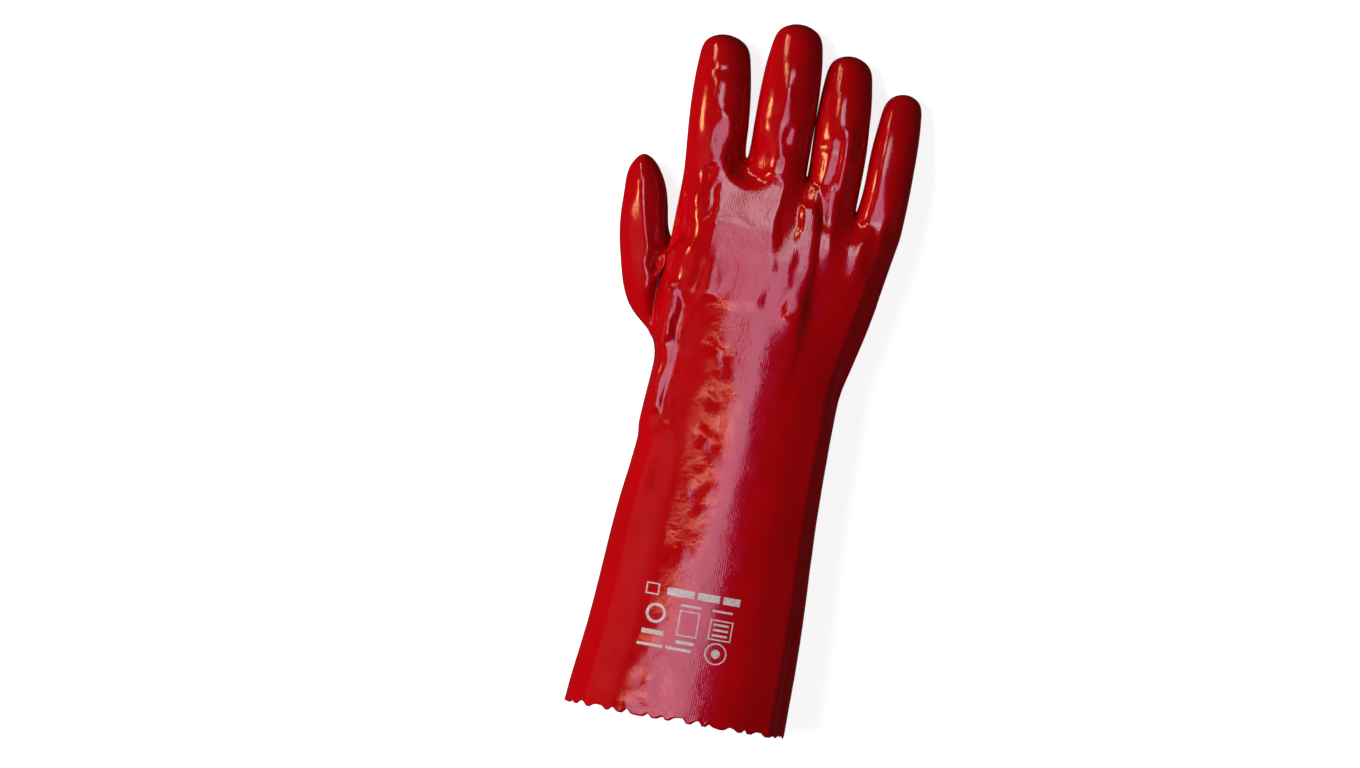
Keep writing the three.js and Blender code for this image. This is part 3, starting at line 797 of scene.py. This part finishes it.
def knit_height(nodes, place, wale, course):
    """Ribs of the knit along the glove and rows across it, on the flat sides and round the edges."""
    parts = nodes.add("ShaderNodeSeparateXYZ", {0: place}).outputs
    geometry = nodes.add("ShaderNodeNewGeometry")
    normal = nodes.add("ShaderNodeSeparateXYZ", {0: geometry.outputs["Normal"]}).outputs
    lying = nodes.ranged(nodes.maths("ABSOLUTE", normal[2]), 0.5, 0.75, 0.0, 1.0)
    ribs = []
    for part in (parts[2], parts[0]):
        ribs.append(nodes.maths("SINE", nodes.maths("MULTIPLY", part, 2 * math.pi / wale)))
    difference = nodes.maths("SUBTRACT", ribs[1], ribs[0])
    rib = nodes.maths("ADD", ribs[0], nodes.maths("MULTIPLY", difference, lying))
    row = nodes.maths("SINE", nodes.maths("MULTIPLY", parts[1], 2 * math.pi / course))
    return nodes.maths("ADD", rib, nodes.maths("MULTIPLY", row, 0.5))


def red_pvc():
    """Glossy dipped coating: two reds in clouds, dark specks, uneven gloss, faint knit and a fine ripple."""
    nodes = Nodes("red_pvc")
    place = nodes.add("ShaderNodeTexCoord").outputs["Object"]
    clouds = nodes.ranged(nodes.noise(place, scale=34, detail=3), 0.35, 0.65, 0.0, 1.0)
    colour = nodes.blend(clouds, RED, LIGHT_RED)
    specks = nodes.ranged(nodes.noise(place, scale=520, detail=1), 0.2, 0.26, 0.75, 0.0)
    colour = nodes.blend(specks, colour, SPECK_RED)
    gloss = nodes.ranged(nodes.noise(place, scale=95, detail=4, roughness=0.6), 0.3, 0.7, 0.06, 0.13)
    knit = knit_height(nodes, place, COAT_WALE, COAT_COURSE)
    fade = nodes.ranged(nodes.noise(place, scale=60, detail=2), 0.4, 0.65, 0.0, 1.0)
    ripple = nodes.noise(place, scale=420, detail=3, roughness=0.6)
    normal = nodes.bump(nodes.maths("MULTIPLY", knit, fade), strength=0.25, distance=0.00003)
    normal = nodes.bump(ripple, strength=0.35, distance=0.00025, normal=normal)
    nodes.fill(nodes.shader, {
        "Base Color": colour,
        "Roughness": gloss,
        "IOR": 1.5,
        "Normal": normal,
    })
    return nodes.material


def cotton_knit():
    """The bare inner face: ribs and rows of knit with a little fuzz."""
    nodes = Nodes("cotton_knit")
    place = nodes.add("ShaderNodeTexCoord").outputs["Object"]
    knit = knit_height(nodes, place, LINER_WALE, LINER_COURSE)
    shade = nodes.ranged(knit, -1.5, 1.5, 0.0, 1.0)
    colour = nodes.blend(shade, SHADED_COTTON, COTTON)
    fuzz = nodes.noise(place, scale=1500, detail=3, roughness=0.7)
    normal = nodes.bump(knit, strength=0.8, distance=0.0002)
    normal = nodes.bump(fuzz, strength=0.4, distance=0.0002, normal=normal)
    nodes.fill(nodes.shader, {
        "Base Color": colour,
        "Roughness": 0.92,
        "Sheen Weight": 0.4,
        "Normal": normal,
    })
    return nodes.material


def white_print():
    """Thin matte ink, worn in places."""
    nodes = Nodes("white_print")
    place = nodes.add("ShaderNodeTexCoord").outputs["Object"]
    worn = nodes.ranged(nodes.noise(place, scale=700, detail=3, roughness=0.7), 0.3, 0.62, 0.0, 1.0)
    colour = nodes.blend(worn, WORN_INK, INK)
    nodes.fill(nodes.shader, {"Base Color": colour, "Roughness": 0.45})
    return nodes.material


# The print: a block of plain bars, rings and frames

Bar = namedtuple("Bar", "across along width height")
PRINT_BARS = [
    Bar(-0.0085, 0.0718, 0.0155, 0.0042),
    Bar(0.0075, 0.0718, 0.0125, 0.0042),
    Bar(0.0205, 0.0718, 0.0095, 0.0042),
    Bar(-0.0205, 0.0478, 0.0125, 0.0026),
    Bar(-0.0015, 0.0446, 0.0105, 0.0018),
    Bar(-0.021, 0.0405, 0.0145, 0.0015),
    Bar(-0.0045, 0.0405, 0.0145, 0.0015),
    Bar(-0.0015, 0.0653, 0.0115, 0.0011),
    Bar(0.0165, 0.0653, 0.0115, 0.0011),
    Bar(0.017, 0.0578, 0.0085, 0.0012),
    Bar(0.017, 0.0548, 0.0085, 0.0012),
    Bar(0.017, 0.0518, 0.0085, 0.0012),
]
PRINT_FRAMES = [
    Bar(-0.0245, 0.0718, 0.0075, 0.0065),
    Bar(-0.0015, 0.0553, 0.0115, 0.0145),
    Bar(0.017, 0.0548, 0.013, 0.0115),
]
Ring = namedtuple("Ring", "across along radius width")
PRINT_RINGS = [
    Ring(-0.0205, 0.0585, 0.0056, 0.0015),
    Ring(0.0165, 0.0415, 0.0062, 0.0008),
    Ring(0.0165, 0.0415, 0.0025, 0.0025),
]
INK_LINE = 0.0007
INK_STEP = 0.0006
# How far the ink stands above the skin and reaches into it
INK_HIGH = 0.00006
INK_DEEP = 0.0003
# A ring has at least this many steps, and a filled one keeps a hole this small
RING_STEPS = 24
RING_HOLE = 0.00005
# From this height the print is cast down onto the skin
CAST_HEIGHT = 1.0


def bar_grid(bar):
    """A bar's rows of places."""
    wide = max(2, round(bar.width / INK_STEP) + 1)
    high = max(2, round(bar.height / INK_STEP) + 1)
    xs = np.linspace(bar.across - bar.width / 2, bar.across + bar.width / 2, wide)
    ys = np.linspace(bar.along - bar.height / 2, bar.along + bar.height / 2, high)
    return [[(x, y) for x in xs] for y in ys]


def frame_bars(bar):
    """The four bars of a frame."""
    half = (bar.width - INK_LINE) / 2
    rise = (bar.height - INK_LINE) / 2
    yield Bar(bar.across, bar.along - rise, bar.width, INK_LINE)
    yield Bar(bar.across, bar.along + rise, bar.width, INK_LINE)
    yield Bar(bar.across - half, bar.along, INK_LINE, bar.height - 2 * INK_LINE)
    yield Bar(bar.across + half, bar.along, INK_LINE, bar.height - 2 * INK_LINE)


def ring_grid(ring):
    """A ring's circles of places, from the inside out."""
    steps = max(RING_STEPS, round(2 * math.pi * ring.radius / INK_STEP))
    inner = max(ring.radius - ring.width, RING_HOLE)
    rows = []
    for radius in np.linspace(inner, ring.radius, max(2, round(ring.width / INK_STEP) + 1)):
        turns = [2 * math.pi * i / steps for i in range(steps + 1)]
        rows.append([(ring.across + radius * math.cos(t), ring.along + radius * math.sin(t)) for t in turns])
    return rows


def ink_patch(rows, surface, move, closed):
    """A thin slab of ink over a grid of places, which follows the skin under it."""
    points = []
    for row in rows:
        for across, along in row:
            above = Vector((across + move[0], along + move[1], CAST_HEIGHT))
            hit, normal, _, _ = surface.ray_cast(above, Vector((0, 0, -1)))
            points.append((hit + normal * INK_HIGH, hit - normal * INK_DEEP))
    wide, high = len(rows[0]), len(rows)
    top = [tuple(p[0]) for p in points]
    low = [tuple(p[1]) for p in points]
    count = len(top)

    def at(row, column):
        return row * wide + (column % (wide - 1) if closed else column)

    faces = []
    for row in range(high - 1):
        for column in range(wide - 1):
            a, b = at(row, column), at(row, column + 1)
            c, d = at(row + 1, column + 1), at(row + 1, column)
            faces.append((a, b, c, d))
            faces.append((d + count, c + count, b + count, a + count))
    for column in range(wide - 1):
        a, b = at(0, column), at(0, column + 1)
        faces.append((b, a, a + count, b + count))
        a, b = at(high - 1, column), at(high - 1, column + 1)
        faces.append((a, b, b + count, a + count))
    if not closed:
        for row in range(high - 1):
            a, b = at(row, 0), at(row + 1, 0)
            faces.append((a, b, b + count, a + count))
            a, b = at(row, wide - 1), at(row + 1, wide - 1)
            faces.append((b, a, a + count, b + count))
    return top + low, faces


def build_print(surface, move, material):
    bars = PRINT_BARS + [bar for framed in PRINT_FRAMES for bar in frame_bars(framed)]
    patches = [ink_patch(bar_grid(bar), surface, move, closed=False) for bar in bars]
    for ring in PRINT_RINGS:
        rows = ring_grid(ring)
        points, faces = ink_patch(rows, surface, move, closed=True)
        patches.append((points, [face[::-1] for face in faces]))
    points, faces = [], []
    for patch_points, patch_faces in patches:
        start = len(points)
        points += patch_points
        faces += [[p + start for p in face] for face in patch_faces]
    return mesh_object("print_marks", np.array(points), faces, [material], smooth_faces=False)


# The scene around it

PHOTO_WIDTH = 1360
PHOTO_HEIGHT = 768
RIM_MIDDLE_PX = (673.5, 722.0)
MIDDLE_TIP_PX = (797.9, 22.3)
# How high the rim's top and the middle fingertip's outline lie
RIM_TOP = 0.054
TIP_TOP = 0.018
CAMERA_HEIGHT = 4.0
SENSOR = 36.0
CLIP_END = 50.0
FLOOR_SIZE = 12.0
# The floor lies just under the glove, so that their faces don't meet
FLOOR_TOP = -0.0003


def add_camera(rim):
    """Looks straight down, so that the rim and the middle fingertip lie where the photograph has them.
    rim: where the rim's middle lies."""
    run = (MIDDLE_TIP_PX[0] - RIM_MIDDLE_PX[0], RIM_MIDDLE_PX[1] - MIDDLE_TIP_PX[1])
    roll = math.atan2(run[0], run[1])
    ahead = (math.sin(roll), math.cos(roll))
    rim_px = (RIM_MIDDLE_PX[0] - PHOTO_WIDTH / 2, PHOTO_HEIGHT / 2 - RIM_MIDDLE_PX[1])
    rim_along = rim_px[0] * ahead[0] + rim_px[1] * ahead[1]
    rim_across = rim_px[0] * ahead[1] - rim_px[1] * ahead[0]
    tip_along = rim_along + math.hypot(*run)
    rim_away = CAMERA_HEIGHT - RIM_TOP
    tip_away = CAMERA_HEIGHT - TIP_TOP
    focal_px = (tip_along * tip_away - rim_along * rim_away) / (cad_high.y - cad_low.y)
    data = bpy.data.cameras.new("camera")
    data.sensor_width = SENSOR
    data.lens = SENSOR * focal_px / PHOTO_WIDTH
    data.clip_end = CLIP_END
    camera = bpy.data.objects.new("camera", data)
    x = rim[0] - rim_across * rim_away / focal_px
    y = rim[1] - rim_along * rim_away / focal_px
    camera.location = (x, y, CAMERA_HEIGHT)
    camera.rotation_euler = (0, 0, roll)
    bpy.context.scene.collection.objects.link(camera)
    bpy.context.scene.camera = camera


# shines: "gloss" lights only what mirrors it, and "shade" only gives colour and shadow
Lamp = namedtuple("Lamp", "name place aim width length power colour shines")
LAMPS = [
    Lamp("softbox", (-0.0425, 0.255, 1.6), (-0.0425, 0.255, 0), 0.415, 0.99, 5.2, (0.95, 0.66, 1.0), "gloss"),
    Lamp("softbox_end", (-0.04, 1.03, 1.6), (-0.04, 0.4, 0), 0.42, 0.5, 4.3, (0.9, 0.85, 1.0), "gloss"),
    Lamp("haze", (0.26, 0.35, 1.6), (0.26, 0.35, 0), 0.18, 1.2, 0.3, (0.3, 0.06, 1.0), "gloss"),
    Lamp("glow", (-1.15, 0.44, 0.75), (0, 0.15, 0), 0.24, 0.28, 4.0, (1.0, 0.62, 0.25), "gloss"),
    Lamp("glow_end", (-0.85, 1.35, 1.6), (0, 0.15, 0), 0.2, 0.34, 3.2, (1.0, 0.62, 0.3), "gloss"),
    Lamp("glow_tip", (-1.0, 1.5, 0.75), (0, 0.2, 0), 0.16, 0.8, 5.0, (1.0, 0.7, 0.4), "gloss"),
    Lamp("glint", (-0.33, -0.05, 1.55), (-0.1, -0.05, 0), 0.09, 0.4, 1.0, (1.0, 0.42, 0.25), "gloss"),
    Lamp("key", (-1.38, -0.05, 1.16), (0, 0, 0), 1.4, 1.5, 33.0, (1.0, 0.98, 0.95), "shade"),
    Lamp("fill", (1.5, 0.1, 0.35), (0, 0, 0), 0.6, 0.6, 2.6, (1.0, 1.0, 1.0), "shade"),
    Lamp("front", (0.12, -1.6, 0.24), (0, -0.2, 0.03), 0.5, 0.3, 3.0, (1.0, 1.0, 1.0), "shade"),
]


def add_lamp(lamp):
    data = bpy.data.lights.new(lamp.name, "AREA")
    data.shape = "RECTANGLE"
    data.size = lamp.width
    data.size_y = lamp.length
    data.energy = lamp.power
    data.color = lamp.colour
    light = bpy.data.objects.new(lamp.name, data)
    light.location = lamp.place
    aim = Vector(lamp.aim) - Vector(lamp.place)
    light.rotation_euler = aim.to_track_quat("-Z", "Y").to_euler()
    light.visible_camera = False
    light.visible_glossy = lamp.shines == "gloss"
    light.visible_diffuse = lamp.shines == "shade"
    bpy.context.scene.collection.objects.link(light)


def add_floor():
    nodes = Nodes("floor")
    nodes.fill(nodes.shader, {
        "Base Color": (0.85, 0.85, 0.85, 1),
        "Roughness": 0.9,
        "Specular IOR Level": 0.0,
        "Emission Color": (1, 1, 1, 1),
        "Emission Strength": 0.86,
    })
    half = FLOOR_SIZE / 2
    sides = [(-half, -half), (half, -half), (half, half), (-half, half)]
    corners = np.array([(x, y, FLOOR_TOP) for x, y in sides])
    floor = mesh_object("floor", corners, [[0, 1, 2, 3]], [nodes.material], smooth_faces=False)
    floor.visible_glossy = False
    floor.visible_diffuse = False


def add_world():
    world = bpy.data.worlds.new("studio")
    world.use_nodes = True
    background = world.node_tree.nodes["Background"]
    background.inputs["Color"].default_value = (1.0, 0.9, 0.95, 1)
    background.inputs["Strength"].default_value = 0.03
    bpy.context.scene.world = world


def build_glove():
    points, coat, lining = build_shell()
    move = centring(points)
    points = points + move
    coated, lined = red_pvc(), cotton_knit()
    glove = mesh_object("glove", points, coat + lining, [coated, lined])
    of_lining = [0] * len(coat) + [1] * len(lining)
    glove.data.polygons.foreach_set("material_index", of_lining)
    surface = BVHTree.FromPolygons([Vector(p) for p in points], coat)
    marks = build_print(surface, move, white_print())
    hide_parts("glove_shell")
    for piece in (glove, marks):
        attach(piece, "root")
    return move


glove_move = build_glove()
add_floor()
add_world()
for each in LAMPS:
    add_lamp(each)
add_camera(glove_move)
bpy.context.scene.view_settings.view_transform = "Standard"
